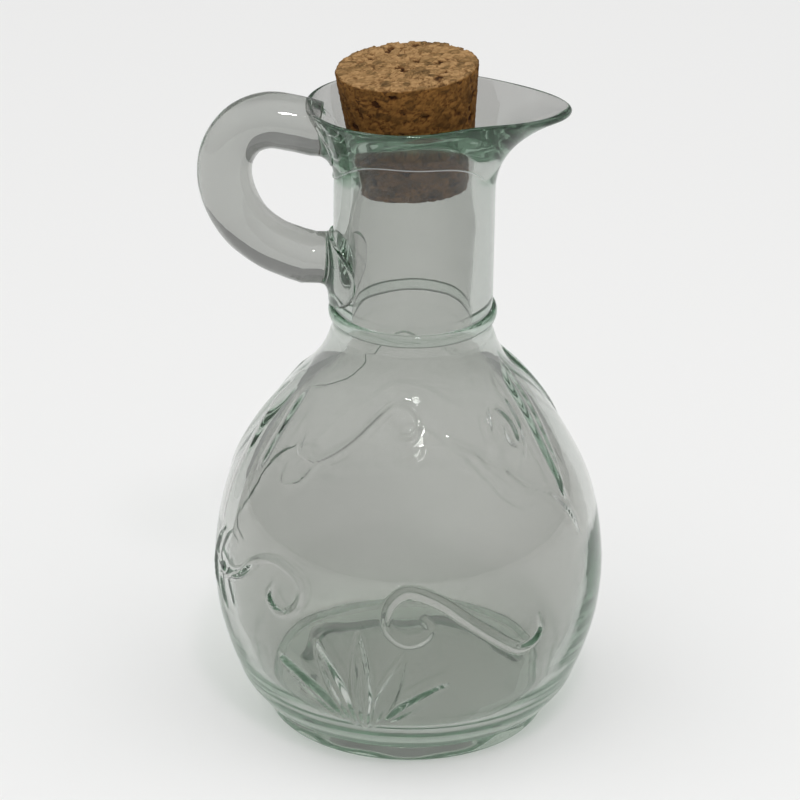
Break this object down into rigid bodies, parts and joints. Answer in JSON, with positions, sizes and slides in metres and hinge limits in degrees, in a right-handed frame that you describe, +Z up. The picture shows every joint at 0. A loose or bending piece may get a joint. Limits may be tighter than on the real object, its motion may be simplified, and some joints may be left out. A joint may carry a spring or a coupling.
{
  "type": "oil cruet",
  "caption": "Round-bellied glass oil cruet with a loop handle, a pouring lip, a ring round its neck and a tapered cork stopper.",
  "frame": {"origin": "middle of the flat underside, on the axis of the bowl and neck", "axes": "+Z up along the axis of the bowl and neck, +X towards the pouring lip, -X towards the handle"},
  "size_m": [0.1078, 0.1042, 0.1822],
  "materials": {
    "bottle_glass": "clear pale green, fire-polished, with shallow moulded relief on the belly",
    "collar_glass": "clear green, fire-polished",
    "handle_glass": "clear pale green, fire-polished solid rod",
    "pressed_cork": "pressed cork granules, matt, cracked and pitted"
  },
  "bodies": {
    "vessel": {"glass_bottle": "bottle_glass", "neck_collar": "collar_glass", "handle": "handle_glass"},
    "stopper": {"cork_stopper": "pressed_cork"}
  },
  "joints": [
    {"name": "cork_pull", "type": "slide", "parent": "vessel", "child": "stopper", "axis": [-0.0785, 0, 0.9969], "range_m": [0, 0.04]}
  ]
}
